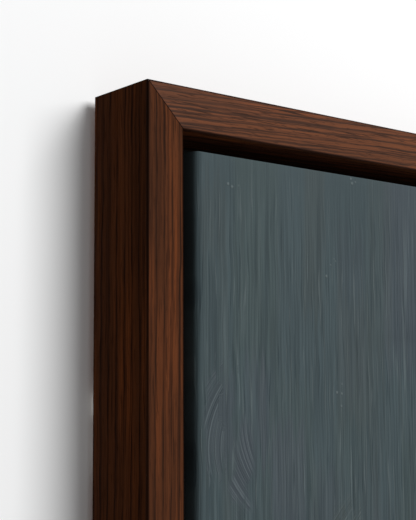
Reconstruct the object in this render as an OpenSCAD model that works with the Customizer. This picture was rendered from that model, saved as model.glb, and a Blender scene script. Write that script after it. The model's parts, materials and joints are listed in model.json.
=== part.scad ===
// Floater frame holding a gallery-wrapped canvas on a keyed stretcher.
// X runs across the picture, Y runs into the wall and Z points up. The origin is at the middle
// of the whole. All sizes are in millimetres.

/* [Canvas] */
// Width of the stretched canvas
canvas_w = 400; // [250:10:700]
// Height of the stretched canvas
canvas_h = 500; // [250:10:900]
// Thickness of the primed and painted canvas
canvas_t = 0.8; // [0.4:0.1:1.4]
// Width of the turnover stapled to the back of the bars
turnover_w = 26; // [23:1:34]

/* [Moulding] */
// Width of the face
face_w = 20; // [14:1:36]
// Open gap between the canvas and the moulding
float_gap = 8.5; // [3:0.5:16]
// How far the canvas lies below the front of the moulding
recess = 1; // [0:0.5:10]
// Thickness of the ledge that carries the stretcher
ledge_t = 7; // [5:0.5:12]
// How far the ledge reaches behind the stretcher
ledge_overlap = 14; // [11:1:16]
// Radius of the eased long edges
arris_r = 0.8; // [0.3:0.1:2]

/* [Stretcher] */
// Width of a bar
bar_w = 38; // [30:1:60]
// Depth of a bar, from its back to its bead
bar_d = 32; // [26:1:45]
// Width of the raised bead under the edge of the canvas
bead_w = 8; // [5:1:12]
// Radius of the bead's outer edge
bead_r = 2.5; // [1:0.5:4]
// How far the front of a bar falls away behind the canvas
bevel_drop = 4; // [2:0.5:6]
// Thickness of each corner tongue
tongue_t = 5; // [3:0.5:6]
// Wood left behind the rear tongue
cheek_t = 8; // [6.5:0.5:10]
// Wood left between the two tongues
web_t = 3; // [2:0.5:4]

/* [Keys] */
// Length of a key
key_l = 34; // [26:1:44]
// Width of a key at its tip
key_tip_w = 4; // [2:0.5:8]
// Width of a key at its head
key_head_w = 14; // [10:0.5:20]
// How far a key is pushed in
key_in = 18; // [12:1:22]

/* [Fixings] */
// Radius of a wood screw's shank
screw_r = 1.75; // [1.5:0.05:2.5]
// Length of the screws that hold the stretcher
fixing_l = 18; // [14:1:24]
// Length of the screws that hold the hangers
hanger_screw_l = 13; // [8:1:18]
// Largest spacing of the stretcher screws
fixing_pitch = 280; // [100:10:400]
// Largest spacing of the staples
staple_pitch = 52; // [30:1:80]
// Depth to which the corner nails are driven
vnail_h = 10; // [5:1:15]

/* [Hangers] */
// Height of the ring pivots above the middle of the picture
hang_z = 130; // [60:5:200]
// Radius of the ring's wire
ring_wire_r = 1.25; // [1:0.05:2]
// Width of the ring between its sides
ring_inside_w = 16; // [14:1:26]
// Thickness of the strap's steel
strap_t = 1; // [0.6:0.1:1.4]
// Width of the strap
strap_w = 11; // [9:0.5:13]
// Height of the rubber bumpers, which sets the frame off the wall
bumper_h = 5; // [5:0.5:12]
// Radius of a bumper at its foot
bumper_r = 5; // [4:0.5:8]

/* [Hidden] */
$fn = 64;

// Sides of a rectangle, numbered so that a quarter turn about Y takes each to the next.
BOTTOM = 0;
LEFT = 1;
TOP = 2;
RIGHT = 3;

fit = 0.1;        // clearance between parts that fit one in another
key_fit = 0.15;   // clearance round a key
cut = 1;          // how far a cutting shape runs past what it cuts

walnut = [0.24, 0.12, 0.07];
pine = [0.80, 0.66, 0.46];
beech = [0.72, 0.52, 0.34];
slate = [0.27, 0.33, 0.36];
steel = [0.72, 0.72, 0.70];
zinc = [0.80, 0.78, 0.70];
black = [0.06, 0.06, 0.06];

// Canvas and stretcher
bars_w = canvas_w - 2 * (canvas_t + fit);
bars_h = canvas_h - 2 * (canvas_t + fit);
canvas_d = bar_d + fit + 2 * canvas_t;
wrap_r = bead_r + fit + canvas_t;

// Moulding
section_w = face_w + float_gap + ledge_overlap;
frame_depth = ledge_t + canvas_d + recess;
outer_w = canvas_w + 2 * (float_gap + face_w);
outer_h = canvas_h + 2 * (float_gap + face_w);

// Planes across Y: the front of the moulding is as far before the origin as the wall is behind it
wall_y = (frame_depth + bumper_h) / 2;
back_y = wall_y - bumper_h;
canvas_back_y = back_y - ledge_t;
bars_back_y = canvas_back_y - canvas_t;

// Heights of the two tongues above the back of the bars
rear_layer = cheek_t;
front_layer = cheek_t + tongue_t + web_t;

// Keys
key_t = tongue_t - 2 * key_fit;
key_slope = (key_head_w - key_tip_w) / key_l;
key_spare = 4;    // room to drive a key further in
key_chamfer = 2;  // height of the cut corner at its head

// Screws
head_r = 2 * screw_r;
head_h = screw_r;                         // of a countersunk head
dome_h = 0.9 * screw_r;                   // of a round head
dome_top_r = 0.62 * head_r;
point_h = 2 * screw_r;
point_r = 0.3;
cross_l = 2.4 * screw_r;
cross_w = 0.45 * screw_r;
cross_deep = 0.7;                         // of the height of the head
fixing_inset = 8;                         // from the outside of the canvas
fixing_margin = 60;                       // from the end of the bars

// Staples
staple_wire = 0.7;
staple_w = 1.2;
staple_crown = 11;
staple_leg = 6;
staple_inset = (ledge_overlap + turnover_w) / 2;
staple_margin = bar_w + 14;               // clear of the corner folds

// Corner nails: an angle of thin steel that straddles the mitre
vnail_t = 0.7;
vnail_leg = 5;
vnail_inset = 6;                          // from either side of the face
vnail_set = 0.3;                          // below the surface
vnail_places = [vnail_inset, face_w - vnail_inset];

// Hangers
ring_fit = 0.08;
knuckle_r = ring_wire_r + ring_fit + strap_t;
ring_bow_r = ring_inside_w / 2 + ring_wire_r;
ring_elbow_r = 3;
ring_leg = 2;
ring_reach = ring_elbow_r + ring_leg + ring_bow_r;
strap_hole_z = [-ring_reach / 2, -ring_reach - 2 * head_r];
hanger_inset = 14;

// Bumpers
bumper_top_r = 0.6 * bumper_r;
bumper_dome_h = 2;
bumper_inset = 14;
bumper_from_corner = 34;

// Length of a side of a w by h rectangle.
function side_length(k, w, h) = k % 2 == 0 ? w : h;

// Places that are evenly spaced along a length, no further apart than pitch.
function spaced(length, pitch) =
    let (n = max(1, ceil(length / pitch)))
    [for (i = [0 : n]) (i / n - 0.5) * length];

// A rectangle from the origin with round corners.
module round_rect(w, h, r) {
    translate([0, r]) square([w, h - 2 * r]);
    translate([r, 0]) square([w - 2 * r, h]);
    for (x = [r, w - r], y = [r, h - r])
        translate([x, y]) circle(r);
}

// Puts children on side k of a w by h rectangle, in which they point inward along +Z.
module on_side(k, w, h) {
    rotate([0, 90 * k, 0])
        translate([0, 0, -side_length(k + 1, w, h) / 2])
            children();
}

// A section with x inward and y forward, drawn out along X.
module along_x(length) {
    rotate(180, [1, 0, 1])
        linear_extrude(length, center = true)
            children();
}

// A flat outline in X and Z that runs forward from y = 0.
module forward(depth) {
    rotate([90, 0, 0])
        linear_extrude(depth)
            children();
}

// All that lies between the two mitres of a piece of this length and width.
module between_mitres(length, width, depth) {
    top = width + cut;
    translate([0, cut, 0])
        forward(depth + 2 * cut)
            polygon([
                [-length / 2, 0], [length / 2, 0],
                [length / 2 - top, top], [-length / 2 + top, top]
            ]);
}

// ---- Moulding ----

// L section: the tall wall that shows, and the ledge behind the stretcher.
module moulding_section() {
    round_rect(face_w, frame_depth, arris_r);
    round_rect(section_w, ledge_t, arris_r);
}

module frame_rail(k) {
    length = side_length(k, outer_w, outer_h);
    color(walnut)
        difference() {
            on_side(k, outer_w, outer_h)
                translate([0, back_y, 0])
                    intersection() {
                        along_x(length) moulding_section();
                        between_mitres(length, section_w, frame_depth);
                    }
            nail_slots();
            at_fixings(k) screw_hole(fixing_l, screw_r + fit);
            for (side = [-1, 1])
                at_hanger_screws(side) cylinder(h = hanger_screw_l - strap_t, r = screw_r + fit / 2);
        }
}

// Two angle nails in each mitre, driven in from the back and set just under the surface.
module corner_nails() {
    color(steel)
        nail_angles(back_y - vnail_set, vnail_h);
}

// The slots that they leave in the rails, open at the back.
module nail_slots() {
    nail_angles(back_y + cut, vnail_h + vnail_set + cut);
}

// The angles of all the corner nails, from plane y forward.
module nail_angles(y, depth) {
    leg = vnail_leg + vnail_t / 2;
    for (sx = [-1, 1], sz = [-1, 1], place = vnail_places)
        in_corner(sx, sz)
            translate([outer_w / 2 - place, y, outer_h / 2 - place])
                forward(depth)
                    translate([-vnail_leg, -vnail_leg])
                        difference() {
                            square(leg);
                            square(leg - vnail_t);
                        }
}

// Mirrors what is drawn at the top right into the corner on side sx of X and sz of Z.
module in_corner(sx, sz) {
    mirror([sx < 0 ? 1 : 0, 0, 0])
        mirror([0, 0, sz < 0 ? 1 : 0])
            children();
}

// ---- Stretcher ----

// Bar section: a rounded bead at the outer edge, then a front that falls away.
module bar_section() {
    polygon([
        [0, 0], [bar_w, 0], [bar_w, bar_d - bevel_drop],
        [bead_w, bar_d], [bead_r, bar_d], [0, bar_d - bead_r]
    ]);
    translate([bead_r, bar_d - bead_r]) circle(bead_r);
}

// The slab of a bar that one tongue lies in, from x = 0 towards +X.
module tongue_slab(layer, length) {
    translate([0, -layer - tongue_t, -cut])
        cube([length, tongue_t, bar_w + 2 * cut]);
}

// The bars on the left and right have their tongues in front, those at top and bottom behind.
function tongue_layer(k) = k % 2 == 0 ? rear_layer : front_layer;
function slot_layer(k) = tongue_layer(k + 1);

module stretcher_bar(k) {
    length = side_length(k, bars_w, bars_h);
    shoulder = length / 2 - bar_w;
    color(pine)
        difference() {
            on_side(k, bars_w, bars_h)
                translate([0, bars_back_y, 0])
                    difference() {
                        union() {
                            intersection() {
                                along_x(length) bar_section();
                                between_mitres(length, bar_w, bar_d);
                            }
                            intersection() {
                                along_x(length) bar_section();
                                translate([-length / 2, 0, 0])
                                    tongue_slab(tongue_layer(k), length);
                            }
                        }
                        for (end = [0, 1])
                            mirror([end, 0, 0]) {
                                translate([shoulder, 0, 0]) tongue_slab(slot_layer(k), bar_w + cut);
                                key_slot(k, shoulder);
                            }
                    }
            at_fixings(k) cylinder(h = fixing_l + fit, r = screw_r + fit / 2);
            at_staples(k) staple();
        }
}

// Outline of a key that lies against x = 0, with its tip at the origin, let out by room all round.
module key_outline(room, extra) {
    low = -extra - room;
    high = key_l + room;
    polygon([
        [room, low], [room, high],
        [-key_head_w - room, high],
        [-key_head_w - room, key_l - key_chamfer],
        [-key_tip_w - room + key_slope * extra, low]
    ]);
}
module key_slot(k, shoulder) {
    translate([shoulder - key_fit, -slot_layer(k), bar_w - key_in])
        forward(tongue_t)
            key_outline(key_fit, key_spare);
}

// Key in side k's bar, at the end on side end of its length.
module key(k, end) {
    shoulder = side_length(k, bars_w, bars_h) / 2 - bar_w;
    color(beech)
        on_side(k, bars_w, bars_h)
            mirror([end < 0 ? 1 : 0, 0, 0])
                translate([shoulder - key_fit, bars_back_y - slot_layer(k) - key_fit, bar_w - key_in])
                    forward(key_t)
                        key_outline(0, 0);
}

// ---- Canvas ----

// A block with its front edges rounded, its back at y = 0.
module wrapped_block(w, h, d, r) {
    intersection() {
        along_x(w) wrap_section(h, d, r);
        rotate([0, 90, 0]) along_x(h) wrap_section(w, d, r);
    }
}

module wrap_section(w, d, r) {
    translate([-w / 2, 0]) square([w, d - r]);
    translate([-w / 2 + r, 0]) square([w - 2 * r, d]);
    for (x = [-w / 2 + r, w / 2 - r])
        translate([x, d - r]) circle(r);
}

module canvas() {
    inner_r = bead_r + fit;
    back_w = canvas_w - 2 * turnover_w;
    back_h = canvas_h - 2 * turnover_w;
    color(slate)
        difference() {
            translate([0, canvas_back_y, 0])
                difference() {
                    wrapped_block(canvas_w, canvas_h, canvas_d, wrap_r);
                    translate([0, -canvas_t, 0])
                        wrapped_block(bars_w + 2 * fit, bars_h + 2 * fit, bar_d + fit, inner_r);
                    translate([-back_w / 2, -canvas_t - cut, -back_h / 2])
                        cube([back_w, canvas_t + 2 * cut, back_h]);
                }
            for (k = [BOTTOM : RIGHT]) {
                at_fixings(k) cylinder(h = fixing_l, r = screw_r + fit);
                at_staples(k) staple();
            }
        }
}

// ---- Fixings ----

// Screw stations on side k: children start at the back of the ledge and point forward.
module at_fixings(k) {
    length = side_length(k, bars_w, bars_h) - 2 * fixing_margin;
    on_side(k, canvas_w, canvas_h)
        for (x = spaced(length, fixing_pitch))
            translate([x, back_y, fixing_inset])
                rotate([90, 0, 0])
                    children();
}

// Staple stations on side k: children start on the turnover and point forward.
module at_staples(k) {
    length = side_length(k, bars_w, bars_h) - 2 * staple_margin;
    on_side(k, canvas_w, canvas_h)
        for (x = spaced(length, staple_pitch))
            translate([x, canvas_back_y, staple_inset])
                rotate([90, 0, 0])
                    children();
}

module staple() {
    translate([-staple_crown / 2, -staple_w / 2, -staple_wire])
        cube([staple_crown, staple_w, staple_wire]);
    for (x = [-staple_crown / 2, staple_crown / 2 - staple_wire])
        translate([x, -staple_w / 2, -staple_wire])
            cube([staple_wire, staple_w, staple_wire + staple_leg]);
}

module canvas_staples() {
    color(steel)
        for (k = [BOTTOM : RIGHT])
            at_staples(k) staple();
}

// Cross recess that a driver turns a screw by, cut into a head from z = 0.
module cross_recess(depth) {
    for (turn = [0, 90])
        rotate(turn)
            translate([-cross_l / 2, -cross_w / 2, -cut])
                cube([cross_l, cross_w, depth + cut]);
}

// Shank of a wood screw from z = start, with its point at z = length.
module shank(start, length) {
    translate([0, 0, start]) cylinder(h = length - point_h - start, r = screw_r);
    translate([0, 0, length - point_h]) cylinder(h = point_h, r1 = screw_r, r2 = point_r);
}

// Countersunk wood screw with its head flush with z = 0.
module countersunk_screw(length) {
    difference() {
        union() {
            cylinder(h = head_h, r1 = head_r, r2 = screw_r);
            shank(head_h, length);
        }
        cross_recess(cross_deep * head_h);
    }
}

// Round-headed wood screw with its head seated on z = 0.
module round_screw(length) {
    difference() {
        union() {
            translate([0, 0, -dome_h]) cylinder(h = dome_h, r1 = dome_top_r, r2 = head_r);
            shank(0, length);
        }
        translate([0, 0, -dome_h]) cross_recess(cross_deep * dome_h);
    }
}

// Countersunk hole for that screw.
module screw_hole(length, r) {
    grow = r - screw_r;
    translate([0, 0, -cut]) cylinder(h = length + cut, r = r);
    translate([0, 0, -grow]) cylinder(h = head_h + 2 * grow, r1 = head_r + 2 * grow, r2 = r);
}

module fixing_screws() {
    color(zinc)
        for (k = [BOTTOM : RIGHT])
            at_fixings(k) countersunk_screw(fixing_l);
}

// ---- Hangers ----

// Children are placed at the ring pivot of the hanger on that side, at the back of the moulding.
module at_hanger(side) {
    translate([side * (outer_w / 2 - hanger_inset), back_y, hang_z])
        children();
}

// Screw stations of that hanger: children start on the moulding and point forward.
module at_hanger_screws(side) {
    at_hanger(side)
        for (z = strap_hole_z)
            translate([0, 0, z])
                rotate([90, 0, 0])
                    children();
}

// Steel strap whose end is rolled round the straight side of the ring.
module hanger_strap(side) {
    color(zinc)
        difference() {
            at_hanger(side) {
                translate([0, strap_t, 0])
                    forward(strap_t) {
                        translate([-strap_w / 2, strap_hole_z[1]]) square([strap_w, -strap_hole_z[1]]);
                        translate([0, strap_hole_z[1]]) circle(strap_w / 2);
                    }
                translate([-strap_w / 2, knuckle_r, 0])
                    rotate([0, 90, 0])
                        cylinder(h = strap_w, r = knuckle_r);
            }
            at_hanger(side)
                translate([-strap_w / 2 - cut, knuckle_r, 0])
                    rotate([0, 90, 0])
                        cylinder(h = strap_w + 2 * cut, r = ring_wire_r + ring_fit);
            at_hanger_screws(side)
                translate([0, 0, -strap_t - cut])
                    cylinder(h = strap_t + 2 * cut, r = screw_r + fit);
        }
}

// Closed wire ring: a straight side in the knuckle, two elbows, two legs and a round bow.
module hanger_ring(side) {
    straight = 2 * (ring_bow_r - ring_elbow_r);
    color(steel)
        at_hanger(side)
            translate([0, knuckle_r, 0])
                rotate([90, 0, 0]) {
                    translate([-straight / 2, 0, 0])
                        rotate([0, 90, 0])
                            cylinder(h = straight, r = ring_wire_r);
                    for (end = [0, 1])
                        mirror([end, 0, 0]) {
                            translate([straight / 2, ring_elbow_r, 0])
                                rotate(-90)
                                    rotate_extrude(angle = 90)
                                        translate([ring_elbow_r, 0]) circle(ring_wire_r);
                            translate([ring_bow_r, ring_elbow_r, 0])
                                rotate([-90, 0, 0])
                                    cylinder(h = ring_leg, r = ring_wire_r);
                        }
                    translate([0, ring_elbow_r + ring_leg, 0])
                        rotate_extrude(angle = 180)
                            translate([ring_bow_r, 0]) circle(ring_wire_r);
                }
}

module hanger_screws(side) {
    color(zinc)
        at_hanger_screws(side)
            translate([0, 0, -strap_t]) round_screw(hanger_screw_l);
}

// Rubber bumper, a low dome with a flat top that rests on the wall.
module bumper(sx, sz) {
    color(black)
        translate([
            sx * (outer_w / 2 - bumper_inset), back_y,
            sz * (outer_h / 2 - bumper_from_corner)
        ])
            rotate([-90, 0, 0]) {
                cylinder(h = bumper_h - bumper_dome_h, r = bumper_r);
                translate([0, 0, bumper_h - bumper_dome_h])
                    cylinder(h = bumper_dome_h, r1 = bumper_r, r2 = bumper_top_r);
            }
}

frame_rail(TOP);  // frame_rail_top
frame_rail(BOTTOM);  // frame_rail_bottom
frame_rail(LEFT);  // frame_rail_left
frame_rail(RIGHT);  // frame_rail_right
corner_nails();
stretcher_bar(TOP);  // stretcher_top
stretcher_bar(BOTTOM);  // stretcher_bottom
stretcher_bar(LEFT);  // stretcher_left
stretcher_bar(RIGHT);  // stretcher_right
canvas();
canvas_staples();
fixing_screws();
key(TOP, 1);  // key_top_left_vertical
key(LEFT, -1);  // key_top_left_horizontal
key(TOP, -1);  // key_top_right_vertical
key(RIGHT, 1);  // key_top_right_horizontal
key(BOTTOM, -1);  // key_bottom_left_vertical
key(LEFT, 1);  // key_bottom_left_horizontal
key(BOTTOM, 1);  // key_bottom_right_vertical
key(RIGHT, -1);  // key_bottom_right_horizontal
hanger_strap(-1);  // hanger_strap_left
hanger_strap(1);  // hanger_strap_right
hanger_ring(-1);  // hanger_ring_left
hanger_ring(1);  // hanger_ring_right
hanger_screws(-1);  // hanger_screws_left
hanger_screws(1);  // hanger_screws_right
bumper(-1, 1);  // bumper_top_left
bumper(1, 1);  // bumper_top_right
bumper(-1, -1);  // bumper_bottom_left
bumper(1, -1);  // bumper_bottom_right
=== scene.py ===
"""Looks of a floater frame: stained walnut rails with an open channel round a brushed canvas, which is
stretched on keyed pine bars, with the hangers and bumpers behind. Everything is in metres: X across the
picture, Y into the wall, Z up."""

import json
import math

import bmesh
import bpy
import numpy as np
from mathutils import Matrix, Vector

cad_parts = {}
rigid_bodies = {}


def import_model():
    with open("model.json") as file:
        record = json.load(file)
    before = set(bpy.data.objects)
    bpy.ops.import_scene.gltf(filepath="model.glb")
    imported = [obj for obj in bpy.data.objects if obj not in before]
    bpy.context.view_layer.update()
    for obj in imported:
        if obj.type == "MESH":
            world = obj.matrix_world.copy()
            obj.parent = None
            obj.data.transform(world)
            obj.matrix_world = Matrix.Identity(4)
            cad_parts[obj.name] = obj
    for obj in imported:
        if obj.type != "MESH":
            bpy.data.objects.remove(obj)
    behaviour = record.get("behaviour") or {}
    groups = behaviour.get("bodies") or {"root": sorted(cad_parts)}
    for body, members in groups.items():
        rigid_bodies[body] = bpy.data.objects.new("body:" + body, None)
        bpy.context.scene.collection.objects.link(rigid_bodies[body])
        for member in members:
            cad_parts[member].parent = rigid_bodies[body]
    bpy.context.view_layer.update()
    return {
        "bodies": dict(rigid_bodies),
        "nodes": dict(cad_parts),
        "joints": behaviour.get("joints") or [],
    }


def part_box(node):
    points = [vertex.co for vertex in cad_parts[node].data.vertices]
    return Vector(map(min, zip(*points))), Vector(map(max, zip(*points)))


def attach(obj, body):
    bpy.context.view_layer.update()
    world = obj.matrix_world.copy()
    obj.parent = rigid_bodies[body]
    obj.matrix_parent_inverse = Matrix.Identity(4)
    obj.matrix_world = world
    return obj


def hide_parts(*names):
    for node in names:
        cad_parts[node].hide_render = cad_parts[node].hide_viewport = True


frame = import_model()

MM = 0.001

# ---- Sizes read from the frame ----

rail_low, rail_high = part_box("frame_rail_left")
OUTER_W = -2 * rail_low.x
OUTER_H = 2 * rail_high.z
FRONT_Y = rail_low.y
BACK_Y = rail_high.y
DEPTH = BACK_Y - FRONT_Y
SECTION_W = rail_high.x - rail_low.x
canvas_low, canvas_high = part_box("canvas")
CANVAS_W = canvas_high.x - canvas_low.x
CANVAS_H = canvas_high.z - canvas_low.z
CANVAS_FRONT = canvas_low.y
CANVAS_BACK = canvas_high.y
CANVAS_DEPTH = CANVAS_BACK - CANVAS_FRONT
LEDGE_T = BACK_Y - CANVAS_BACK
WALL_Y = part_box("bumper_top_left")[1].y

# ---- Sizes of its own ----

FACE_W = 20 * MM
ARRIS_R = 0.7 * MM
BACK_ARRIS_R = 0.2 * MM
MITRE_GROOVE = 0.16 * MM
CANVAS_T = 0.8 * MM
TURNOVER = 26 * MM
SIDE_R = 3.8 * MM
END_R = 1.0 * MM
RELIEF = 0.24 * MM
# Where two faces turn from each other by more than this many degrees, the edge between is eased.
SHARP_TURN = 30

# The four sides of the picture: which way each runs, and which way is inward. Along x inward is forward.
SIDES = {
    "bottom": (Vector((1, 0, 0)), Vector((0, 0, 1))),
    "left": (Vector((0, 0, -1)), Vector((1, 0, 0))),
    "top": (Vector((-1, 0, 0)), Vector((0, 0, -1))),
    "right": (Vector((0, 0, 1)), Vector((-1, 0, 0))),
}
FORWARD = Vector((0, -1, 0))


# ---- Meshes ----


def new_object(name, mesh):
    obj = bpy.data.objects.new(name, mesh)
    bpy.context.scene.collection.objects.link(obj)
    return obj


def mesh_object(name, points, faces, sharp_from=30):
    """An object made of these points and faces, smooth but for edges sharper than sharp_from degrees."""
    mesh = bpy.data.meshes.new(name)
    mesh.from_pydata([tuple(p) for p in points], [], faces)
    tidy_mesh(mesh, sharp_from)
    return new_object(name, mesh)


def tidy_mesh(mesh, sharp_from=30):
    """Faces turned outward and shaded smooth up to that angle."""
    bm = bmesh.new()
    bm.from_mesh(mesh)
    bmesh.ops.recalc_face_normals(bm, faces=bm.faces)
    bm.to_mesh(mesh)
    bm.free()
    mesh.shade_smooth()
    mesh.set_sharp_from_angle(angle=math.radians(sharp_from))
    mesh.update()


def arc(centre, radius, start, end, steps):
    """Points along an arc, angles in degrees."""
    angles = [math.radians(start + (end - start) * i / steps) for i in range(steps + 1)]
    return [(centre[0] + radius * math.cos(a), centre[1] + radius * math.sin(a)) for a in angles]


def lathe(name, profile, centre, direction, steps=40, sharp_from=30):
    """A solid turned about direction through centre. The profile is (radius, height) from axis to axis."""
    axis = Vector(direction).normalized()
    side = axis.orthogonal().normalized()
    other = axis.cross(side)
    points, rings = [], []
    for radius, height in profile:
        count = 1 if radius == 0 else steps
        rings.append(range(len(points), len(points) + count))
        for i in range(count):
            a = 2 * math.pi * i / steps
            spoke = side * math.cos(a) + other * math.sin(a)
            points.append(Vector(centre) + axis * height + spoke * radius)
    faces = []
    for low, high in zip(rings, rings[1:]):
        for i in range(steps):
            a, b = low[i % len(low)], low[(i + 1) % len(low)]
            c, d = high[(i + 1) % len(high)], high[i % len(high)]
            faces.append(list(dict.fromkeys([a, b, c, d])))
    return mesh_object(name, points, faces, sharp_from)


def cut_away(obj, cutters):
    """Takes the cutters out of obj, and removes them."""
    for cutter in cutters:
        modifier = obj.modifiers.new("cut", "BOOLEAN")
        modifier.operation = "DIFFERENCE"
        modifier.solver = "EXACT"
        modifier.object = cutter
    bpy.context.view_layer.update()
    result = bpy.data.meshes.new_from_object(obj.evaluated_get(bpy.context.evaluated_depsgraph_get()))
    obj.modifiers.clear()
    obj.data = result
    for cutter in cutters:
        bpy.data.objects.remove(cutter)
    tidy_mesh(obj.data)
    return obj


def islands(node):
    """The lowest and highest corner of each separate solid in a CAD node."""
    bm = bmesh.new()
    bm.from_mesh(frame["nodes"][node].data)
    bmesh.ops.remove_doubles(bm, verts=bm.verts, dist=1e-6)
    left, found = set(bm.verts), []
    while left:
        stack, part = [left.pop()], []
        while stack:
            vert = stack.pop()
            part.append(vert.co.copy())
            for edge in vert.link_edges:
                other = edge.other_vert(vert)
                if other in left:
                    left.remove(other)
                    stack.append(other)
        found.append((Vector(map(min, zip(*part))), Vector(map(max, zip(*part)))))
    bm.free()
    return sorted(found, key=lambda box: tuple(round(c, 6) for c in box[0]))


def softened(node, width, name):
    """A copy of a CAD node with its sharp edges eased by width."""
    mesh = frame["nodes"][node].data.copy()
    mesh.name = name
    mesh.materials.clear()
    bm = bmesh.new()
    bm.from_mesh(mesh)
    bmesh.ops.remove_doubles(bm, verts=bm.verts, dist=2e-6)
    bmesh.ops.dissolve_limit(bm, angle_limit=math.radians(0.5), verts=bm.verts, edges=bm.edges)
    sharp = [e for e in bm.edges if e.is_manifold and e.calc_face_angle(0) > math.radians(SHARP_TURN)]
    bmesh.ops.bevel(
        bm, geom=sharp, offset=width, segments=2, affect="EDGES", profile=0.6, clamp_overlap=True
    )
    bm.to_mesh(mesh)
    bm.free()
    tidy_mesh(mesh)
    return new_object(name, mesh)


def set_grain(obj, along, across, start=(0, 0, 0)):
    """Stores where each point lies in its own piece of wood: along the grain, across it and through it."""
    along, across = Vector(along), Vector(across)
    axes = np.array([along, across, along.cross(across)])
    count = len(obj.data.vertices)
    points = np.empty(count * 3, np.float32)
    obj.data.vertices.foreach_get("co", points)
    grain = points.reshape(-1, 3) @ axes.T + np.array(start)
    attribute = obj.data.attributes.new("grain", "FLOAT_VECTOR", "POINT")
    attribute.data.foreach_set("vector", grain.astype(np.float32).ravel())


def finish_piece(obj, body, slot, materials, *nodes):
    """Gives a piece its materials and its place in the frame."""
    for material in materials:
        obj.data.materials.append(material)
    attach(obj, body)
    if nodes:
        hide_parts(*nodes)
    return obj


# ---- Materials ----


class Shader:
    """A material's node tree, built by short calls."""

    def __init__(self, name):
        self.material = bpy.data.materials.new(name)
        self.material.use_nodes = True
        self.tree = self.material.node_tree
        self.surface = self.tree.nodes["Principled BSDF"]

    def node(self, kind, inputs=None, **settings):
        made = self.tree.nodes.new(kind)
        for key, value in settings.items():
            setattr(made, key, value)
        for key, value in (inputs or {}).items():
            self.feed(made.inputs[key], value)
        return made

    def feed(self, socket, value):
        if isinstance(value, bpy.types.NodeSocket):
            self.tree.links.new(value, socket)
        elif isinstance(value, bpy.types.Node):
            self.tree.links.new(value.outputs[0], socket)
        elif isinstance(value, tuple) and socket.type == "RGBA":
            socket.default_value = (*value[:3], 1)
        else:
            socket.default_value = value

    def attribute(self, name):
        return self.node("ShaderNodeAttribute", attribute_name=name, attribute_type="GEOMETRY")

    def stretch(self, vector, scale, shift=(0, 0, 0)):
        return self.node("ShaderNodeMapping", {"Vector": vector, "Scale": scale, "Location": shift})

    def noise(self, vector, scale=1.0, detail=2.0, roughness=0.5):
        inputs = {"Vector": vector, "Scale": scale, "Detail": detail, "Roughness": roughness}
        return self.node("ShaderNodeTexNoise", inputs)

    def math(self, operation, a, b=0.0):
        return self.node("ShaderNodeMath", {0: a, 1: b}, operation=operation)

    def band(self, value, low, high, out_low=0.0, out_high=1.0):
        """Smoothly from out_low to out_high as value goes from low to high."""
        inputs = {"Value": value, "From Min": low, "From Max": high, "To Min": out_low, "To Max": out_high}
        return self.node("ShaderNodeMapRange", inputs, interpolation_type="SMOOTHSTEP")

    def mix(self, factor, a, b, blend="MIX"):
        made = self.node("ShaderNodeMix", data_type="RGBA", blend_type=blend)
        self.feed(made.inputs["Factor"], factor)
        self.feed(made.inputs["A"], a)
        self.feed(made.inputs["B"], b)
        return made.outputs["Result"]

    def bump(self, height, strength, distance):
        inputs = {"Height": height, "Strength": strength, "Distance": distance}
        return self.node("ShaderNodeBump", inputs)

    def set(self, **values):
        """Feeds the surface's sockets; an underscore in a name stands for a space."""
        for key, value in values.items():
            self.feed(self.surface.inputs[key.replace("_", " ")], value)
        return self.material


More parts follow.
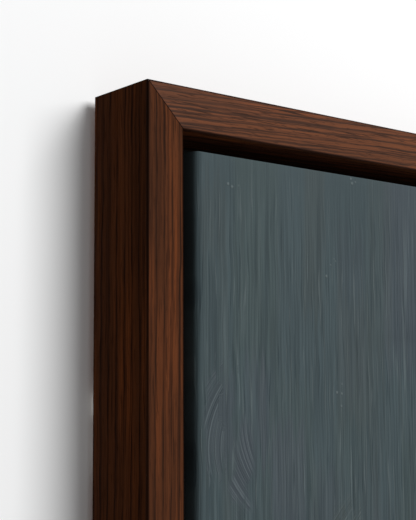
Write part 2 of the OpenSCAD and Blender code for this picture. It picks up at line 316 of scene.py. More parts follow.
def walnut(name, length, seed, rings, pith, slope, light, painted_front_sheen, sheen, figure):
    """Dark stained walnut. length is the rail's, along its outer edge, rings is the number of growth rings to
    the metre, pith where the heart of the tree lay, across and through the rail, slope how far the grain
    leans from the rail, light how bright the rail is, which on the top rail is raised as painted sheen, haze
    how much painted sheen lies over the front face, and figure how strongly the pores show."""
    s = Shader(name)
    grain = s.attribute("grain").outputs["Vector"]
    shift = (seed * 1.7, seed * 0.61, seed * 0.37)
    along, across, through = s.node("ShaderNodeSeparateXYZ", {"Vector": grain}).outputs

    # Growth rings: distance from the heart, made to wander along the rail.
    sway = s.noise(s.stretch(grain, (4, 12, 12), shift), detail=1)
    waver = s.noise(s.stretch(grain, (55, 90, 90), shift), detail=2)
    leaning = s.node("ShaderNodeMath", {0: along, 1: slope, 2: -pith[0]}, operation="MULTIPLY_ADD")
    away_x = s.math("ADD", across, leaning)
    away_y = s.math("SUBTRACT", through, pith[1])
    squares = s.math("ADD", s.math("MULTIPLY", away_x, away_x), s.math("MULTIPLY", away_y, away_y))
    radius = s.math("ADD", s.math("SQRT", squares), s.math("MULTIPLY", sway, 9 * MM))
    radius = s.math("ADD", radius, s.math("MULTIPLY", waver, 1.3 * MM))
    ring_at = s.node("ShaderNodeCombineXYZ", {0: radius, 1: along, 2: seed * 3.1})

    # Each ring ends in a thin dark line, which comes and goes along the rail.
    phase = s.math("FRACT", s.math("MULTIPLY", radius, rings))
    late_wood = s.band(phase, 0.50, 0.90)
    line = s.math("MULTIPLY", late_wood, s.band(phase, 0.90, 1.0, 1.0, 0.0))
    thin_line = s.math("POWER", line, 2.2)
    strength = s.band(s.noise(s.stretch(grain, (32, 260, 260), shift), detail=2), 0.34, 0.60, 0.35, 1.0)
    fine_lines = s.noise(s.stretch(ring_at, (1300, 12, 1)), detail=2)
    broad = s.noise(s.stretch(ring_at, (95, 2, 1)), detail=1)

    # Pores: short dark dashes along the grain.
    pores = s.band(s.noise(s.stretch(grain, (150, 2300, 2300), shift), detail=1), 0.61, 0.70)
    long_pores = s.band(s.noise(s.stretch(grain, (48, 1250, 1250), shift), detail=1.5), 0.60, 0.69)
    fibre = s.noise(s.stretch(grain, (60, 4200, 4200), shift), detail=2)
    flame = s.noise(s.stretch(grain, (10, 120, 120), shift), detail=2)

    brown = s.mix(s.band(broad, 0.3, 0.7), (0.070, 0.0215, 0.0078), (0.102, 0.0305, 0.0105))
    brown = s.mix(s.band(flame, 0.48, 0.74, 0.0, 0.7), brown, (0.168, 0.0440, 0.0120))
    brown = s.mix(s.band(fine_lines, 0.44, 0.64, 0.0, 0.50 * figure), brown, (0.026, 0.0080, 0.0036))
    brown = s.mix(s.math("MULTIPLY", late_wood, 0.22), brown, (0.026, 0.0075, 0.0032))
    thin_line = s.math("MULTIPLY", thin_line, strength)
    brown = s.mix(s.math("MULTIPLY", thin_line, 0.92), brown, (0.0105, 0.0036, 0.0020))
    brown = s.mix(s.math("MULTIPLY", long_pores, 0.55 * figure), brown, (0.017, 0.0058, 0.0030))
    brown = s.mix(s.math("MULTIPLY", pores, 0.38 * figure), brown, (0.014, 0.0050, 0.0028))
    # Painted sheen: a pale grey laid over the front face, as much as haze says.
    front = s.band(s.math("ABSOLUTE", through), 0.5 * MM, 2 * MM, 1.0, 0.0)
    brown = s.mix(s.math("MULTIPLY", front, painted_front_sheen), brown, (0.085, 0.058, 0.045))

    # Stain gathers on the front arrises and in the mitres.
    outer = s.math("ABSOLUTE", across)
    inner = s.math("ABSOLUTE", s.math("SUBTRACT", across, FACE_W))
    edge = s.math("ADD", s.math("MINIMUM", outer, inner), s.math("ABSOLUTE", through))
    brown = s.mix(s.band(edge, 0.45 * MM, 1.15 * MM, 0.85, 0.0), brown, (0.007, 0.0026, 0.0016))
    joint = s.math("SUBTRACT", s.math("SUBTRACT", length / 2, s.math("ABSOLUTE", along)), across)
    brown = s.mix(s.band(joint, 0.15 * MM, 0.55 * MM, 0.8, 0.0), brown, (0.007, 0.0026, 0.0016))
    # light scales the whole colour of the rail; on the top rail it is raised to a painted sheen.
    shade = s.band(fibre, 0.25, 0.75, 0.88 * light, 1.12 * light)
    colour = s.node("ShaderNodeVectorMath", {0: brown, "Scale": shade}, operation="SCALE")

    rough = s.band(s.math("ADD", pores, long_pores), 0.0, 1.0, 0.50, 0.72)
    hollow = s.math("ADD", s.math("MULTIPLY", thin_line, 0.5), s.math("ADD", long_pores, pores))
    relief = s.math("SUBTRACT", s.math("MULTIPLY", fibre, 0.35), hollow)
    bump = s.bump(relief, 0.35, 0.12 * MM)
    return s.set(Base_Color=colour, Roughness=rough, Specular_IOR_Level=sheen, Normal=bump)


def channel_black():
    """The black that the inside of the channel is painted."""
    s = Shader("channel_black")
    grain = s.attribute("grain").outputs["Vector"]
    streaks = s.noise(s.stretch(grain, (25, 900, 900)), detail=2)
    colour = s.mix(streaks, (0.006, 0.0055, 0.0055), (0.016, 0.014, 0.013))
    return s.set(
        Base_Color=colour,
        Roughness=s.band(streaks, 0.3, 0.7, 0.55, 0.7),
        Specular_IOR_Level=0.2,
        Normal=s.bump(streaks, 0.3, 0.1 * MM),
    )


def soft_wood(name, seed, early, late, rings, fleck, rough):
    """Bare planed timber. rings is the number of growth rings to the metre, and fleck how strongly short
    medullary flecks show."""
    s = Shader(name)
    grain = s.attribute("grain").outputs["Vector"]
    shift = (seed * 1.3, seed * 0.7, seed * 0.41)
    across, through = s.node("ShaderNodeSeparateXYZ", {"Vector": grain}).outputs[1:]
    sway = s.noise(s.stretch(grain, (2.6, 12, 12), shift), detail=2)
    away = s.math("ADD", across, s.math("MULTIPLY", through, 0.45))
    away = s.math("ADD", away, s.math("MULTIPLY", sway, 22 * MM))
    phase = s.math("FRACT", s.math("MULTIPLY", away, rings))
    line = s.math("MULTIPLY", s.band(phase, 0.35, 0.9), s.band(phase, 0.9, 1.0, 1.0, 0.0))
    fibre = s.noise(s.stretch(grain, (45, 3000, 3000), shift), detail=3)
    patch = s.noise(s.stretch(grain, (7, 30, 30), shift), detail=2)
    flecks = s.band(s.noise(s.stretch(grain, (330, 2100, 2100), shift), detail=1), 0.6, 0.7)
    colour = s.mix(s.math("MULTIPLY", line, 0.8), early, late)
    colour = s.mix(s.band(patch, 0.35, 0.75, 0.0, 0.35), colour, late)
    colour = s.mix(s.math("MULTIPLY", flecks, fleck), colour, tuple(0.45 * c for c in late))
    shade = s.band(fibre, 0.25, 0.75, 0.88, 1.12)
    colour = s.node("ShaderNodeVectorMath", {0: colour, "Scale": shade}, operation="SCALE")
    relief = s.math("SUBTRACT", s.math("MULTIPLY", fibre, 0.6), s.math("MULTIPLY", line, 0.4))
    return s.set(
        Base_Color=colour,
        Roughness=s.band(fibre, 0.2, 0.8, rough - 0.06, rough + 0.06),
        Specular_IOR_Level=0.3,
        Normal=s.bump(relief, 0.35, 0.1 * MM),
    )


def painted_canvas():
    """Slate paint: the tint of each stroke, bristle lines finer than the mesh, which turn where a stroke
    bends, and the odd raised speck. Ridges of paint, raised cords and bristle lines carry painted highlight,
    and hollows, sunk cords and the grooves between bristles carry painted shade."""
    s = Shader("painted_canvas")
    where = s.node("ShaderNodeTexCoord").outputs["Object"]
    bent = s.attribute("bristle").outputs["Vector"]
    tint = s.attribute("paint").outputs["Color"]
    names = ("ridge", "curl", "marked", "grit")
    ridge, curl, marked, grit = (s.attribute(name).outputs["Fac"] for name in names)

    # Bristle lines wander a little as the brush comes down.
    wander = s.math("MULTIPLY", s.noise(s.stretch(where, (60, 1, 45)), detail=1), 1.8 * MM)
    aside = s.node("ShaderNodeCombineXYZ", {0: wander})
    wavy = s.node("ShaderNodeVectorMath", {0: where, 1: aside}, operation="ADD")

    def lines(scale, detail):
        straight = s.noise(s.stretch(wavy, (scale, 1, 18000 / scale)), detail=detail, roughness=0.6)
        curved = s.noise(s.stretch(bent, (scale, 1, 9000 / scale)), detail=detail, roughness=0.6)
        return s.node("ShaderNodeMix", {"Factor": curl, "A": straight, "B": curved}, data_type="FLOAT")

    bristle = lines(1100, 2).outputs["Result"]
    cord = lines(760, 1).outputs["Result"]
    raised = s.math("MULTIPLY", s.band(cord, 0.61, 0.70), marked)
    sunk = s.math("MULTIPLY", s.band(cord, 0.30, 0.39, 1.0, 0.0), marked)
    cloud = s.noise(s.stretch(where, (14, 14, 8)), detail=3)
    cells = s.node("ShaderNodeTexVoronoi", {"Vector": s.stretch(where, (320, 320, 320)), "Scale": 1.0})
    some = s.band(s.node("ShaderNodeSeparateColor", {0: cells.outputs["Color"]}), 0.5, 0.6)
    speck = s.math("MULTIPLY", s.band(cells.outputs["Distance"], 0.12, 0.34, 1.0, 0.0), some)
    speck = s.math("MULTIPLY", speck, s.band(grit, 0.3, 0.6))
    weave = s.noise(s.stretch(where, (1900, 1900, 1900)), detail=1)
    # Painted highlight on ridges of paint and painted shade in its hollows.
    colour = s.mix(s.band(ridge, 0.45, 1.0, 0.0, 0.34), tint, (0.092, 0.114, 0.118))
    colour = s.mix(s.band(ridge, 0.0, 0.45, 0.36, 0.0), colour, (0.030, 0.043, 0.050))
    # Painted highlight on raised cords and painted shade in sunk ones.
    colour = s.mix(s.math("MULTIPLY", raised, 0.45), colour, (0.100, 0.124, 0.128))
    colour = s.mix(s.math("MULTIPLY", sunk, 0.45), colour, (0.026, 0.038, 0.044))
    # Painted highlight along the bristle lines of swept strokes.
    swept = s.math("MULTIPLY", curl, s.band(bristle, 0.48, 0.62, 0.0, 0.32))
    colour = s.mix(swept, colour, (0.115, 0.138, 0.142))
    # Painted highlight and shade along the bristle lines, where the bristles mark the paint.
    painted_bristle_shading = s.math("MULTIPLY", s.band(bristle, 0.37, 0.63, -0.15, 0.15), marked)
    shade = s.math("MULTIPLY", s.math("ADD", painted_bristle_shading, 1.05), s.band(cloud, 0.3, 0.7, 0.95, 1.05))
    colour = s.node("ShaderNodeVectorMath", {0: colour, "Scale": shade}, operation="SCALE")
    colour = s.mix(s.math("MULTIPLY", speck, 0.42), colour.outputs[0], (0.18, 0.21, 0.21))
    relief = s.math("ADD", s.math("MULTIPLY", bristle, 0.55), s.math("MULTIPLY", speck, 0.6))
    relief = s.math("ADD", relief, s.math("MULTIPLY", raised, 0.30))
    relief = s.math("SUBTRACT", relief, s.math("MULTIPLY", sunk, 0.25))
    relief = s.math("ADD", relief, s.math("MULTIPLY", weave, 0.08))
    return s.set(
        Base_Color=colour,
        Roughness=s.band(bristle, 0.2, 0.8, 0.50, 0.64),
        Specular_IOR_Level=0.06,
        Normal=s.bump(relief, 0.9, 0.45 * MM),
    )


def raw_canvas():
    """The unpainted back of the canvas: a plain weave of uneven threads, with painted shade in the gaps
    between them.
    """
    s = Shader("raw_canvas")
    where = s.node("ShaderNodeTexCoord").outputs["Object"]
    threads = []
    for axis in (0, 2):
        scale = [60.0, 60.0, 60.0]
        scale[2 - axis] = 1400.0
        uneven = s.noise(s.stretch(where, tuple(scale)), detail=2)
        place = s.node("ShaderNodeSeparateXYZ", {"Vector": where}).outputs[axis]
        wander = s.math("MULTIPLY", uneven, 0.25 * MM)
        wave = s.math("SINE", s.math("MULTIPLY", s.math("ADD", place, wander), 2 * math.pi / (0.7 * MM)))
        threads.append(s.node("ShaderNodeMath", {0: wave, 1: 0.5, 2: 0.5}, operation="MULTIPLY_ADD"))
    weave = s.math("MAXIMUM", threads[0], threads[1])
    gap = s.math("MULTIPLY", s.math("SUBTRACT", 1.0, threads[0]), s.math("SUBTRACT", 1.0, threads[1]))
    weft = s.noise(s.stretch(where, (14, 14, 900)), detail=1)
    warp = s.noise(s.stretch(where, (900, 14, 14)), detail=1)
    slub = s.math("MULTIPLY", s.math("ADD", weft, warp), 0.5)
    colour = s.mix(s.band(slub, 0.3, 0.7), (0.53, 0.45, 0.33), (0.62, 0.54, 0.41))
    # Painted shade in the gaps between threads.
    colour = s.mix(s.math("MULTIPLY", gap, 0.45), colour, (0.30, 0.24, 0.16))
    return s.set(
        Base_Color=colour,
        Roughness=0.92,
        Specular_IOR_Level=0.15,
        Sheen_Weight=0.25,
        Normal=s.bump(weave, 0.6, 0.25 * MM),
    )


def plated(name, colour, dull, rough):
    """Plated steel: fine scratches, and a bloom where the plating has dulled."""
    s = Shader(name)
    where = s.node("ShaderNodeTexCoord").outputs["Object"]
    bloom = s.noise(where, scale=260, detail=3, roughness=0.6)
    scratch = s.noise(s.stretch(where, (400, 3600, 3600)), detail=2)
    return s.set(
        Base_Color=s.mix(s.band(bloom, 0.35, 0.7), colour, dull),
        Metallic=1.0,
        Roughness=s.band(bloom, 0.3, 0.75, rough, rough + 0.2),
        Normal=s.bump(scratch, 0.12, 0.05 * MM),
    )


def rubber():
    s = Shader("rubber")
    where = s.node("ShaderNodeTexCoord").outputs["Object"]
    grit = s.noise(where, scale=2600, detail=2)
    dust = s.noise(where, scale=320, detail=3)
    return s.set(
        Base_Color=s.mix(s.band(dust, 0.45, 0.8), (0.018, 0.018, 0.019), (0.055, 0.053, 0.050)),
        Roughness=s.band(dust, 0.3, 0.8, 0.62, 0.85),
        Specular_IOR_Level=0.35,
        Normal=s.bump(grit, 0.25, 0.08 * MM),
    )


# ---- Rails ----


def moulding_outline():
    """The rail's section as (inward, forward) points, its front arrises eased and its back ones barely."""
    outline = []
    for x, y, start, r in (
        (0, 0, 180, BACK_ARRIS_R),
        (SECTION_W, 0, 270, BACK_ARRIS_R),
        (SECTION_W, LEDGE_T, 0, BACK_ARRIS_R),
        (FACE_W, LEDGE_T, None, 0),
        (FACE_W, DEPTH, 0, ARRIS_R),
        (0, DEPTH, 90, ARRIS_R),
    ):
        if r:
            centre = (r if x == 0 else x - r, r if y == 0 else y - r)
            outline += arc(centre, r, start, start + 90, 5)
        else:
            outline.append((x, y))
    return outline


def inset(outline, by):
    """The outline drawn in by that much. It runs anticlockwise."""
    result = []
    for i, (x, y) in enumerate(outline):
        before, after = Vector(outline[i - 1]), Vector(outline[(i + 1) % len(outline)])
        d1 = (Vector((x, y)) - before).normalized()
        d2 = (after - Vector((x, y))).normalized()
        n = Vector((-d1.y - d2.y, d1.x + d2.x))
        n /= max(n.dot(Vector((-d1.y, d1.x))), 0.3)
        result.append((x + n.x * by, y + n.y * by))
    return result


def mitred_rail(name, side):
    """A rail between mitres, whose edges are eased so that each joint shows as a fine line."""
    along, inward = SIDES[side]
    length, across = (OUTER_W, OUTER_H) if side in ("top", "bottom") else (OUTER_H, OUTER_W)
    full = moulding_outline()
    drawn_in = inset(full, MITRE_GROOVE)
    steps = 24
    stations = [(-1, 0, drawn_in), (-1, MITRE_GROOVE, full)]
    stations += [(-1 + 2 * i / steps, 0, full) for i in range(1, steps)]
    stations += [(1, MITRE_GROOVE, full), (1, 0, drawn_in)]
    points = []
    for share, gap, outline in stations:
        for v, w in outline:
            u = share * (length / 2 - v) - math.copysign(gap, share)
            points.append(along * u + inward * (v - across / 2) + FORWARD * w + Vector((0, BACK_Y, 0)))
    n = len(full)
    faces = [list(range(n)), list(range(len(points) - n, len(points)))]
    for j in range(len(stations) - 1):
        for i in range(n):
            k = (i + 1) % n
            faces.append([j * n + i, j * n + k, (j + 1) * n + k, (j + 1) * n + i])
    return mesh_object(name, points, faces, 35)


def screw_cutters(side):
    """Countersunk holes for the screws whose heads lie in this side's ledge."""
    inward = SIDES[side][1]
    across = OUTER_H if side in ("top", "bottom") else OUTER_W
    cutters = []
    for i, (low, high) in enumerate(islands("fixing_screws")):
        middle = (low + high) / 2
        if middle.dot(inward) > SECTION_W - across / 2 or middle.dot(inward) < -across / 2:
            continue
        head, shank, over = (high.x - low.x) / 2 + 0.15 * MM, 2.0 * MM, 1 * MM
        profile = [(0, over), (head, over), (head, 0), (shank, -2 * MM), (shank, -LEDGE_T - over)]
        profile.append((0, -LEDGE_T - over))
        cutters.append(lathe(f"hole_{i}", profile, (middle.x, BACK_Y, middle.z), (0, 1, 0), 32))
    return cutters


def nail_cutters(side):
    """The slots that the corner nails leave in this side's rail, open at the back."""
    inward = SIDES[side][1]
    cutters = []
    for i, (low, high) in enumerate(islands("corner_nails")):
        middle = (low + high) / 2
        if middle.dot(inward) > 0:
            continue
        sx, sz = math.copysign(1, middle.x), math.copysign(1, middle.z)
        size, thick = high.x - low.x + 0.1 * MM, 0.8 * MM
        x = (high.x if sx > 0 else low.x) + 0.05 * MM * sx
        z = (high.z if sz > 0 else low.z) + 0.05 * MM * sz
        shape = [(0, 0), (size, 0), (size, thick), (thick, thick), (thick, size), (0, size)]
        points = []
        for y in (low.y - 0.1 * MM, BACK_Y + 1 * MM):
            points += [(x - sx * a, y, z - sz * b) for a, b in shape]
        faces = [list(range(6)), list(range(6, 12))]
        faces += [[j, (j + 1) % 6, (j + 1) % 6 + 6, j + 6] for j in range(6)]
        cutters.append(mesh_object(f"slot_{i}", points, faces))
    return cutters


WALNUT = {
    # side: seed, rings to the metre, heart of the tree, slope of the grain, brightness, haze, sheen, figure
    # The top rail's brightness is raised as painted sheen, and haze is painted sheen on the front face.
    "top": (1, 300, (-0.160, 0.060), -0.045, 1.60, 0.14, 0.035, 2.0),
    "bottom": (2, 280, (-0.140, 0.090), 0.020, 1.05, 0.10, 0.02, 1.1),
    "left": (3, 272, (-0.130, 0.088), 0.003, 0.98, 0.11, 0.004, 1.1),
    "right": (4, 290, (-0.120, 0.110), -0.012, 1.05, 0.10, 0.02, 1.1),
}


def make_rails():
    black = channel_black()
    for side, looks in WALNUT.items():
        along, inward = SIDES[side]
        across = OUTER_H if side in ("top", "bottom") else OUTER_W
        rail = mitred_rail(f"rail_{side}", side)
        cut_away(rail, screw_cutters(side) + nail_cutters(side))
        set_grain(rail, along, inward, (0, across / 2, FRONT_Y))
        wood = walnut(f"stained_walnut_{side}", OUTER_W + OUTER_H - across, *looks)
        finish_piece(rail, "frame", "stained_walnut", [wood, black], f"frame_rail_{side}")
        for face in rail.data.polygons:
            inside = face.center.dot(inward) + across / 2
            face.material_index = 1 if inside > FACE_W and face.normal.y < -0.5 else 0


# ---- Canvas ----


def smooth(x):
    x = np.clip(x, 0, 1)
    return x * x * (3 - 2 * x)


class Noise:
    """Smooth noise from -1 to 1 over a plane, from a table of random numbers."""

    def __init__(self, seed, size=256):
        self.size = size
        self.table = np.random.default_rng(seed).uniform(-1, 1, (size, size))

    def __call__(self, a, b):
        i, j = np.floor(a).astype(int), np.floor(b).astype(int)
        fa, fb = smooth(a - i), smooth(b - j)
        n = self.size
        t = self.table
        low = t[i % n, j % n] * (1 - fa) + t[(i + 1) % n, j % n] * fa
        high = t[i % n, (j + 1) % n] * (1 - fa) + t[(i + 1) % n, (j + 1) % n] * fa
        return low * (1 - fb) + high * fb


BRUSH_SEED = 20
STRAIGHT_STROKES = 190
SWEPT_STROKES = 15
SMEARS = 12
GRIT_PATCHES = 34
STROKE_COLOURS = np.array(
    [
        (0.050, 0.069, 0.075),
        (0.052, 0.071, 0.072),
        (0.055, 0.069, 0.070),
        (0.052, 0.064, 0.074),
        (0.055, 0.065, 0.077),
        (0.047, 0.067, 0.072),
    ]
)


def brushwork(x, z):
    """What the brush left at points of the canvas: the relief of the paint, from 0 to 1, its colour, the
    place across and along the bristles of a bent stroke and how far that stroke covers the point, how
    strongly the bristles mark it, and how much grit there is in it."""
    rng = np.random.default_rng(BRUSH_SEED)
    fine, coarse, ragged = Noise(1), Noise(2), Noise(3)
    across, down = x + CANVAS_W / 2, CANVAS_H / 2 - z
    aside = across + 0.8 * MM * ragged(across / (15 * MM), down / (20 * MM))
    height = 0.45 + 0.16 * fine(aside / (1.4 * MM), down / (30 * MM))
    colour = np.broadcast_to(STROKE_COLOURS[0], (*x.shape, 3)).copy()
    bent = np.stack([across, 0 * across, down], -1)
    curl = np.zeros_like(x)

    def somewhere():
        return rng.uniform(0, CANVAS_W), rng.uniform(0, CANVAS_H)

    # Each stroke: across and down to its middle, half length, half width, lean, bend and strength. In a
    # swept one the bristle lines bend across an upright patch.
    strokes = []
    for _ in range(STRAIGHT_STROKES):
        sizes = (rng.uniform(0.03, 0.08), rng.uniform(0.007, 0.020))
        lean, bend = rng.normal(0, 0.02), rng.normal(0, 0.15)
        strokes.append((*somewhere(), *sizes, lean, bend, rng.uniform(0.4, 0.9)))
    for _ in range(SWEPT_STROKES):
        sizes = (rng.uniform(0.018, 0.030), rng.uniform(0.007, 0.013))
        bend = rng.choice((-1, 1)) * rng.uniform(8, 14)
        strokes.append((*somewhere(), *sizes, rng.uniform(-0.6, 0.6), bend, 1.0))
    for n, (a, d, half_l, half_w, lean, bend, strength) in enumerate(strokes):
        s = down - d
        t = across - a - lean * s - bend * s * s
        swept = n >= STRAIGHT_STROKES
        off = across - a + 3 * MM * ragged(s / (9 * MM) + 7 * n, 0 * s) if swept else t
        near = (np.abs(s) < half_l + 0.02) & (np.abs(off) < half_w + 0.004)
        s, t, off = s[near], t[near], off[near]
        ends = half_l + 9 * MM * ragged(t / (1.2 * MM) + 31 * n, s * 0 + n)
        cover = strength * smooth((ends - np.abs(s)) / (14 * MM)) * smooth((half_w - np.abs(off)) / (4 * MM))
        lines = 0.45 * fine(t / (1.3 * MM) + 17 * n, s / (70 * MM))
        lines += 0.35 * coarse(t / (2.4 * MM) + 13 * n, s / (90 * MM))
        edge = 0.12 * np.exp(-(((np.abs(off) - half_w * 0.92) / (0.9 * MM)) ** 2))
        if swept:
            lines, edge = 0.3 * lines, 0
            bent[near] = np.stack([t + 2 * a, 0 * t, s + 3 * d], -1)
            curl[near] = cover
        height[near] += (0.45 + lines + edge - height[near]) * cover
        own = STROKE_COLOURS[rng.integers(len(STROKE_COLOURS))] * rng.uniform(0.96, 1.04)
        colour[near] += (own - colour[near]) * (0.75 * cover)[:, None]
    # Thin dark smears cross the strokes, and grit gets into the paint in patches.
    for _ in range(SMEARS):
        a, d = somewhere()
        slope = rng.uniform(-0.15, 0.15)
        s = (across - a) / rng.uniform(0.015, 0.030)
        t = (down - d - slope * (across - a)) / rng.uniform(0.0022, 0.0034)
        colour *= (1 - 0.15 * np.exp(-(s**2) - t**2))[..., None]
    grit = np.zeros_like(x)
    for _ in range(GRIT_PATCHES):
        a, d = somewhere()
        spread = rng.uniform(0.003, 0.010)
        grit += np.exp(-(((across - a) / spread) ** 2) - ((down - d) / spread) ** 2)
    # The paint lies smoother where strokes run off the top and bottom.
    calm = 0.45 + 0.70 * smooth(np.minimum(down, CANVAS_H - down) / 0.050)
    return np.clip(0.45 + (height - 0.45) * calm, 0, 1), colour, bent, curl, calm, np.clip(grit, 0, 1)


def edge_places(half, radius, steps):
    """Places along the front from one edge to the other: closer together where the edges are rounded."""
    bend = np.array([radius * (1 - math.sin(math.radians(a))) for a in (90, 75, 60, 45, 30, 15, 0)])
    flat = np.linspace(-half + radius, half - radius, steps)[1:-1]
    return np.concatenate([-half + bend, flat, half - bend[::-1]])


def fallen(inside, radius):
    """How far a rounded edge falls back, this far in from the outside."""
    left = np.clip(radius - inside, 0, radius)
    return radius - np.sqrt(radius**2 - left**2)


def make_canvas():
    """The canvas: a closed sheet whose front carries the paint's relief. Its sides, turnover and back follow
    the same outline inward, so that it has one thickness all round."""
    half_w, half_h = CANVAS_W / 2, CANVAS_H / 2
    xs, zs = edge_places(half_w, SIDE_R, 555), edge_places(half_h, END_R, 120)
    gx, gz = np.meshgrid(xs, zs)
    height, colour, bent, curl, marked, grit = brushwork(gx, gz)
    in_x, in_z = half_w - np.abs(gx), half_h - np.abs(gz)
    fade = smooth(in_x / SIDE_R) * smooth(in_z / SIDE_R)
    fall = np.maximum(fallen(in_x, SIDE_R), fallen(in_z, END_R))
    sag = 0.3 * MM * np.cos(gx / CANVAS_W * math.pi) * np.cos(gz / CANVAS_H * math.pi)
    gy = CANVAS_FRONT + fall + (1 - height) * RELIEF * fade + sag
    rows, columns = gx.shape
    front = np.stack([gx, gy, gz], -1).reshape(-1, 3)
    index = np.arange(rows * columns).reshape(rows, columns)
    quads = np.stack([index[:-1, :-1], index[:-1, 1:], index[1:, 1:], index[1:, :-1]], -1).reshape(-1, 4)
    rim = list(index[0, :-1]) + list(index[:-1, -1]) + list(index[-1, :0:-1]) + list(index[:0:-1, 0])

    # Loops round the rim: the side, the turnover, and back inside. Each is (y, how far in from the outside).
    inner_back = CANVAS_BACK - CANVAS_T
    inner_r = SIDE_R - CANVAS_T
    loops = [
        (CANVAS_FRONT + 0.4 * CANVAS_DEPTH, 0),
        (CANVAS_BACK - 1.2 * MM, 0),
        (CANVAS_BACK - 0.35 * MM, 0.35 * MM),
        (CANVAS_BACK, 1.2 * MM),
        (CANVAS_BACK, TURNOVER),
        (inner_back, TURNOVER),
        (inner_back, CANVAS_T),
    ]
    for angle in (0, 20, 40, 55, 70, 90):
        a = math.radians(angle)
        loops.append((CANVAS_FRONT + SIDE_R - inner_r * math.sin(a), SIDE_R - inner_r * math.cos(a)))
    parts, rings = [front], [rim]
    for y, by in loops:
        ring = front[rim]
        ring[:, 0] = np.clip(ring[:, 0], -half_w + by, half_w - by)
        ring[:, 1] = y
        ring[:, 2] = np.clip(ring[:, 2], -half_h + by, half_h - by)
        start = sum(len(part) for part in parts)
        parts.append(ring)
        rings.append(list(range(start, start + len(rim))))
    painted, raw = quads.tolist(), []
    for number, (one, two) in enumerate(zip(rings, rings[1:])):
        strip = raw if number > 2 else painted
        for i in range(len(rim)):
            k = (i + 1) % len(rim)
            strip.append([one[i], one[k], two[k], two[i]])
    raw.append(rings[-1])
    points = np.concatenate(parts)
    obj = mesh_object("stretched_canvas", points, painted + raw, 40)

    count, shown = len(points), rows * columns
    attributes = obj.data.attributes
    for name, values, elsewhere in (
        ("ridge", height, 0.5),
        ("curl", curl, 0),
        ("marked", marked, 0.6),
        ("grit", grit, 0),
    ):
        whole = np.full(count, elsewhere, np.float32)
        whole[:shown] = values.ravel()
        attributes.new(name, "FLOAT", "POINT").data.foreach_set("value", whole)
    paint = np.ones((count, 4), np.float32)
    paint[:, :3] = STROKE_COLOURS[0]
    paint[:shown, :3] = colour.reshape(-1, 3)
    attributes.new("paint", "FLOAT_COLOR", "POINT").data.foreach_set("color", paint.ravel())
    bristle = points.astype(np.float32)
    bristle[:shown] = bent.reshape(-1, 3)
    attributes.new("bristle", "FLOAT_VECTOR", "POINT").data.foreach_set("vector", bristle.ravel())
    finish_piece(obj, "frame", "painted_canvas", [painted_canvas(), raw_canvas()], "canvas")
    is_raw = np.zeros(len(painted) + len(raw), np.int32)
    is_raw[len(painted) :] = 1
    obj.data.polygons.foreach_set("material_index", is_raw)


# ---- Stretcher ----


def make_stretcher():
    for n, (side, (along, inward)) in enumerate(SIDES.items()):
        bar = softened(f"stretcher_{side}", 0.5 * MM, f"bar_{side}")
        set_grain(bar, along, inward, (n * 0.9, 0, 0))
        pine = soft_wood(f"bare_pine_{side}", n + 1, (0.66, 0.47, 0.27), (0.50, 0.29, 0.13), 260, 0.15, 0.6)
        finish_piece(bar, "frame", "bare_pine", [pine], f"stretcher_{side}")
    beech = soft_wood("beech_key", 9, (0.52, 0.34, 0.20), (0.43, 0.25, 0.13), 420, 0.55, 0.55)
    for n, body in enumerate(sorted(b for b in frame["bodies"] if b.startswith("key_"))):
        wedge = softened(body, 0.4 * MM, body.replace("key_", "wedge_"))
        upright = body.endswith("vertical")
        along, inward = SIDES["right"] if upright else SIDES["bottom"]
        set_grain(wedge, along, inward, (n * 0.4, 0, 0))
        finish_piece(wedge, body, "beech_key", [beech], body)


# ---- Fixings and hangers ----


def make_fixings():
    steel = plated("bright_steel", (0.62, 0.60, 0.57), (0.40, 0.38, 0.35), 0.30)
    zinc = plated("zinc_plate", (0.66, 0.66, 0.64), (0.48, 0.48, 0.47), 0.34)
    nickel = plated("nickel_wire", (0.70, 0.68, 0.63), (0.52, 0.50, 0.46), 0.18)
    for node, name, slot, material, width in (
        ("canvas_staples", "canvas_staple_set", "bright_steel", steel, 0.14 * MM),
        ("corner_nails", "corner_nail_set", "bright_steel", steel, 0.10 * MM),
        ("fixing_screws", "fixing_screw_set", "zinc_plate", zinc, 0.12 * MM),
        ("hanger_screws_left", "left_hanger_screws", "zinc_plate", zinc, 0.12 * MM),
        ("hanger_screws_right", "right_hanger_screws", "zinc_plate", zinc, 0.12 * MM),
        ("hanger_strap_left", "left_hanger_strap", "zinc_plate", zinc, 0.15 * MM),
        ("hanger_strap_right", "right_hanger_strap", "zinc_plate", zinc, 0.15 * MM),
    ):
        finish_piece(softened(node, width, name), "frame", slot, [material], node)
    for side in ("left", "right"):
        make_ring(side, nickel)


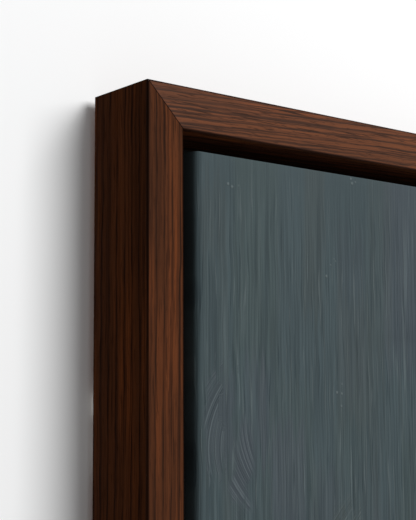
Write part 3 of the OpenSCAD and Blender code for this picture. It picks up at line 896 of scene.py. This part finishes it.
def make_ring(side, material):
    """A closed wire ring: a straight side with two elbows, and a round bow."""
    pivot = Vector(next(j for j in frame["joints"] if j["child"] == f"ring_{side}")["pos_m"])
    low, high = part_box(f"hanger_ring_{side}")
    wire = (high.y - low.y) / 2
    bow = (high.x - low.x) / 2 - wire
    elbow = 3 * MM
    reach = high.z - wire - pivot.z
    line = arc((bow - elbow, elbow), elbow, -90, 0, 8) + arc((0, reach - bow), bow, 0, 180, 40)
    line += arc((-bow + elbow, elbow), elbow, 180, 270, 8)
    # More points along the straight side, so that rings of points stay alike.
    line += [(x * (bow - elbow), 0) for x in (-0.66, -0.33, 0, 0.33, 0.66)]
    centre = [pivot + Vector((x, 0, z)) for x, z in line]
    around = 20
    points, faces = [], []
    for i, p in enumerate(centre):
        ahead = (centre[(i + 1) % len(centre)] - centre[i - 1]).normalized()
        across = ahead.cross(Vector((0, 1, 0)))
        for k in range(around):
            a = 2 * math.pi * k / around
            points.append(p + (across * math.cos(a) + Vector((0, 1, 0)) * math.sin(a)) * wire)
    n = len(centre)
    for i in range(n):
        for k in range(around):
            m, j = (k + 1) % around, (i + 1) % n
            faces.append([i * around + k, i * around + m, j * around + m, j * around + k])
    ring = mesh_object(f"{side}_ring", points, faces, 60)
    finish_piece(ring, f"ring_{side}", "nickel_wire", [material], f"hanger_ring_{side}")


def make_bumpers():
    black = rubber()
    for node in sorted(n for n in frame["nodes"] if n.startswith("bumper_")):
        low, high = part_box(node)
        middle = (low + high) / 2
        foot, height = (high.x - low.x) / 2, high.y - low.y
        skirt, flat = 0.35 * height, 0.58 * foot
        profile = [(0, 0), (foot - 0.2 * MM, 0), (foot, 0.2 * MM), (foot, skirt)]
        steps = 8
        for i in range(1, steps + 1):
            a = math.pi / 2 * i / steps
            profile.append((flat + (foot - flat) * math.cos(a), skirt + (height - skirt) * math.sin(a)))
        profile.append((0, height))
        pad = lathe(node.replace("bumper_", "pad_"), profile, (middle.x, low.y, middle.z), (0, 1, 0), 48)
        finish_piece(pad, "frame", "rubber", [black], node)


# ---- Stage ----


def wall_paint():
    """Pale paint that is seen from the room only, so that a view from behind shows the back of the frame."""
    s = Shader("wall_paint")
    where = s.node("ShaderNodeTexCoord").outputs["Object"]
    tone = s.noise(where, scale=3, detail=2)
    stipple = s.noise(where, scale=700, detail=2)
    s.set(
        Base_Color=s.mix(tone, (0.945, 0.945, 0.945), (0.955, 0.955, 0.955)),
        Roughness=0.9,
        Specular_IOR_Level=0.1,
        Normal=s.bump(stipple, 0.1, 0.1 * MM),
    )
    behind = s.node("ShaderNodeNewGeometry").outputs["Backfacing"]
    clear = s.node("ShaderNodeBsdfTransparent")
    seen = s.node("ShaderNodeMixShader", {0: behind, 1: s.surface, 2: clear})
    s.tree.links.new(seen.outputs[0], s.tree.nodes["Material Output"].inputs["Surface"])
    return s.material


def make_stage():
    """A wall just behind the bumpers and a floor well below, which throw no light on the object."""
    paint = wall_paint()
    y = WALL_Y + 0.05 * MM
    reach, floor_z = 4.0, -1.35
    wall = [(-reach, y, floor_z), (reach, y, floor_z), (reach, y, reach), (-reach, y, reach)]
    floor = [(-reach, -reach, floor_z), (reach, -reach, floor_z), (reach, y, floor_z), (-reach, y, floor_z)]
    for name, corners in (("backdrop_wall", wall), ("floor", floor)):
        mesh = bpy.data.meshes.new(name)
        mesh.from_pydata(corners, [], [[0, 1, 2, 3]])
        obj = new_object(name, mesh)
        mesh.materials.append(paint)
        obj.visible_diffuse = False
        obj.visible_glossy = False
        obj.visible_shadow = False


def area_light(name, target, direction, distance, size, strength):
    """A square lamp aimed at target from that direction. strength is what it adds to a white surface."""
    lamp = bpy.data.lights.new(name, "AREA")
    lamp.size = size
    lamp.energy = strength * math.pi**2 * distance**2
    obj = bpy.data.objects.new(name, lamp)
    towards = Vector(direction).normalized()
    obj.location = Vector(target) + towards * distance
    obj.rotation_euler = towards.to_track_quat("Z", "Y").to_euler()
    bpy.context.scene.collection.objects.link(obj)


def make_light():
    """A key lamp before the corner, a weaker lamp behind for views of the back, and a pale room."""
    corner = (-OUTER_W / 2, FRONT_Y, OUTER_H / 2)
    area_light("key", corner, (0.39, -1.0, 0.46), 2.2, 1.3, 1.0)
    area_light("rear", (0, 0, 0), (0.40, 1.0, 0.12), 2.0, 1.2, 0.36)
    world = bpy.data.worlds.new("room")
    bpy.context.scene.world = world
    world.use_nodes = True
    tree = world.node_tree
    background = tree.nodes["Background"]
    background.inputs["Color"].default_value = (0.97, 0.99, 1.0, 1)
    rays = tree.nodes.new("ShaderNodeLightPath")
    level = tree.nodes.new("ShaderNodeMapRange")
    level.inputs["To Min"].default_value = 0.27
    level.inputs["To Max"].default_value = 1.0
    seen = rays.outputs["Is Camera Ray"]
    for kind in ("Is Glossy Ray", "Is Transmission Ray"):
        either = tree.nodes.new("ShaderNodeMath")
        either.operation = "MAXIMUM"
        tree.links.new(seen, either.inputs[0])
        tree.links.new(rays.outputs[kind], either.inputs[1])
        seen = either.outputs[0]
    tree.links.new(seen, level.inputs["Value"])
    tree.links.new(level.outputs[0], background.inputs["Strength"])


def make_camera():
    """The camera stands in front, to the left and below the top corner, and looks a little up."""
    yaw, pitch, roll = (math.radians(a) for a in (39.1, 7.2, -0.3))
    level = Vector((math.sin(yaw), math.cos(yaw), 0))
    up = Vector((0, 0, 1))
    right = Vector((math.cos(yaw), -math.sin(yaw), 0))
    ahead = level * math.cos(pitch) + up * math.sin(pitch)
    above = up * math.cos(pitch) - level * math.sin(pitch)
    across = right * math.cos(roll) + above * math.sin(roll)
    above = above * math.cos(roll) - right * math.sin(roll)
    # Where the outer top left corner lies from the camera, in face widths.
    corner = Vector((-OUTER_W / 2, FRONT_Y, OUTER_H / 2))
    away = (-1.31 * right + 7.49 * up + 27.19 * level) * FACE_W
    camera = bpy.data.cameras.new("camera")
    camera.lens = 87.4
    camera.clip_start = 0.01
    obj = bpy.data.objects.new("camera", camera)
    axes = Matrix((across, above, -ahead)).transposed().to_4x4()
    obj.matrix_world = Matrix.Translation(corner - away) @ axes
    bpy.context.scene.collection.objects.link(obj)
    bpy.context.scene.camera = obj


make_camera()
make_light()
make_stage()
make_rails()
make_stretcher()
make_fixings()
make_canvas()
make_bumpers()
bpy.context.scene.view_settings.view_transform = "Standard"
